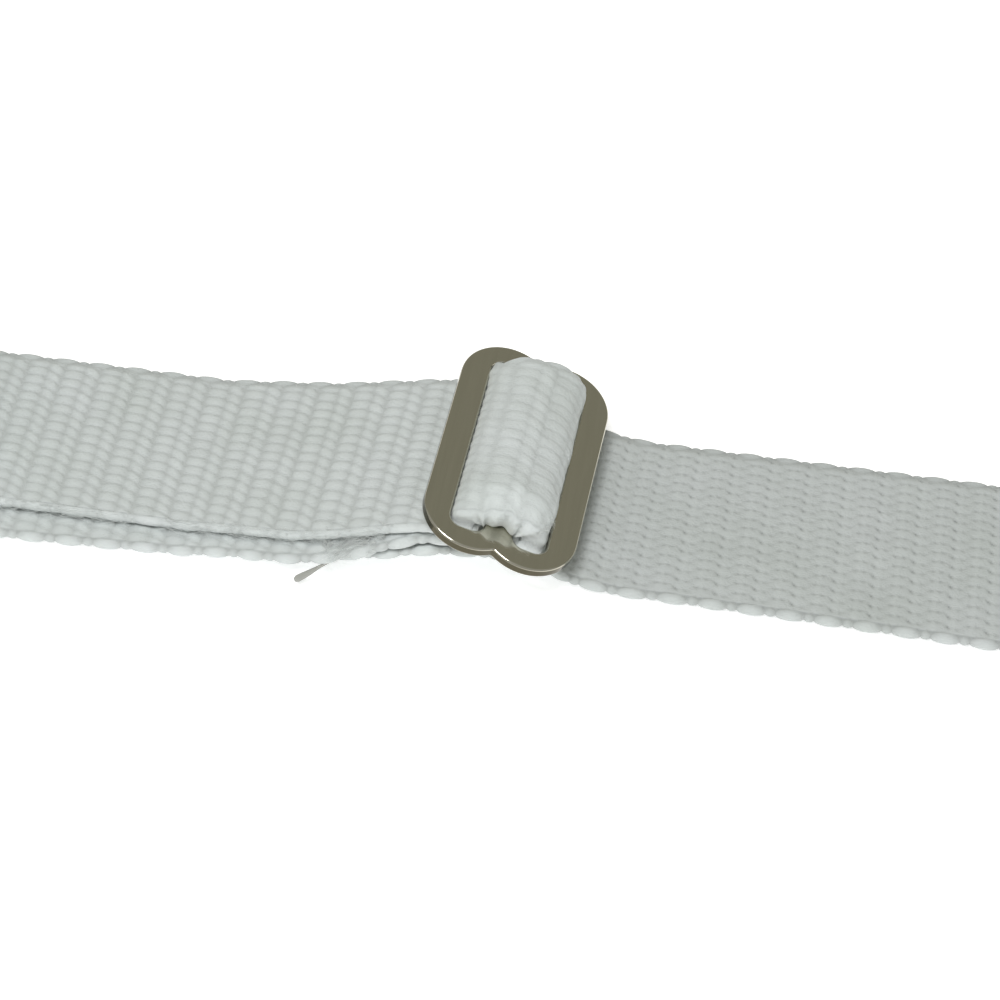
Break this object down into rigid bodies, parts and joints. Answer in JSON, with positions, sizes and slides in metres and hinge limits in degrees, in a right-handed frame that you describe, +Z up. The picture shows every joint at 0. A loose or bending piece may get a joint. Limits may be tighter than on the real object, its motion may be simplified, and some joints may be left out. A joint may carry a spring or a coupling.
{
  "type": "gait belt",
  "caption": "White webbing waist belt for assisted walking, threaded through a flat polished two-slot slide, laid flat with both long ends rolled up.",
  "frame": {"origin": "on the resting surface, straight under the middle of the slide's centre bar, which is also the middle of the whole laid-out belt", "axes": "+X along the belt from the waist loop towards the free tail, +Y across the webbing, +Z up from the resting surface"},
  "size_m": [0.3104, 0.0502, 0.0514],
  "materials": {
    "polished_nickel": "polished, slightly warm nickel plate on stamped steel",
    "white_webbing": "matte woven webbing with a raised rib in each yarn",
    "white_thread": "matte spun thread"
  },
  "bodies": {
    "belt_middle": {"sewn_end_wrap": "white_webbing", "running_strap": "white_webbing", "seam_stitches": "white_thread", "loose_yarn": "white_thread"},
    "slide": {"slide_plate": "polished_nickel"},
    "loop_side": {"loop_lower_layer": "white_webbing", "loop_upper_layer": "white_webbing", "waist_loop_roll": "white_webbing"},
    "tail_side": {"tail_strap": "white_webbing", "tail_roll": "white_webbing"}
  },
  "joints": [
    {"name": "slide_tilt", "type": "hinge", "parent": "belt_middle", "child": "slide", "pos_m": [0, 0, 0.01274], "axis": [0.0419, 0.9991, 0], "range_deg": [-8, 2]},
    {"name": "loop_fold", "type": "hinge", "parent": "belt_middle", "child": "loop_side", "pos_m": [-0.064, 0, 0.0049], "axis": [0, 1, 0], "range_deg": [0, 90]},
    {"name": "tail_fold", "type": "hinge", "parent": "belt_middle", "child": "tail_side", "pos_m": [0.024, 0, 0.0024], "axis": [0, -1, 0], "range_deg": [0, 90]}
  ]
}
